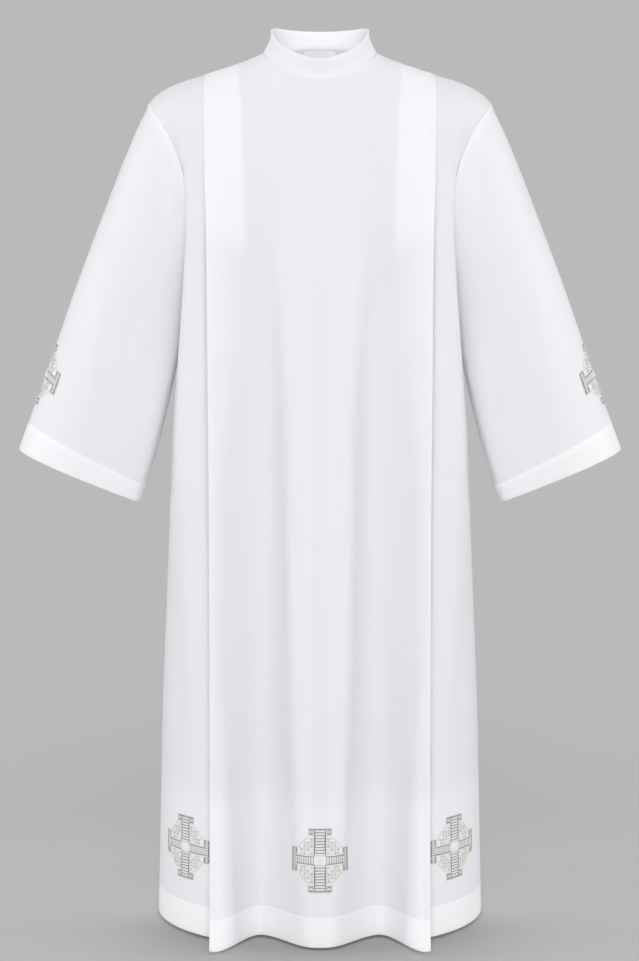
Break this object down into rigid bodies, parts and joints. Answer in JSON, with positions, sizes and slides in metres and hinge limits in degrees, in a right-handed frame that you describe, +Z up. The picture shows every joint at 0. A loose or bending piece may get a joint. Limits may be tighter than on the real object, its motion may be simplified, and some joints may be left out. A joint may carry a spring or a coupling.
{
  "type": "alb robe",
  "caption": "Long white alb with a stand collar, knife pleats from the shoulders, wide sleeves and embroidered crosses above hem and cuffs, filled out and hollow.",
  "frame": {"origin": "middle of the neck opening, level with the two points where the shoulder seams meet the collar; the robe hangs from there", "axes": "+Z up along the robe's length, -Y towards the front, +X towards the robe's right-hand side as seen from the front"},
  "size_m": [0.9842, 0.4131, 1.446],
  "materials": {
    "white_cloth": "plain woven, soft, matt",
    "white_collar": "plain woven over interfacing, pressed flat",
    "embroidery": "satin-stitched in silver grey and cream thread",
    "label_ribbon": "smooth woven ribbon, blank"
  },
  "bodies": {
    "root": {"front": "white_cloth", "back": "white_cloth", "sleeve_right": "white_cloth", "sleeve_left": "white_cloth", "collar": "white_collar", "neck_label": "label_ribbon", "cross_front_middle": "embroidery", "cross_front_right": "embroidery", "cross_front_left": "embroidery", "cross_back_middle": "embroidery", "cross_back_right": "embroidery", "cross_back_left": "embroidery", "cross_sleeve_right": "embroidery", "cross_sleeve_left": "embroidery"}
  },
  "joints": []
}
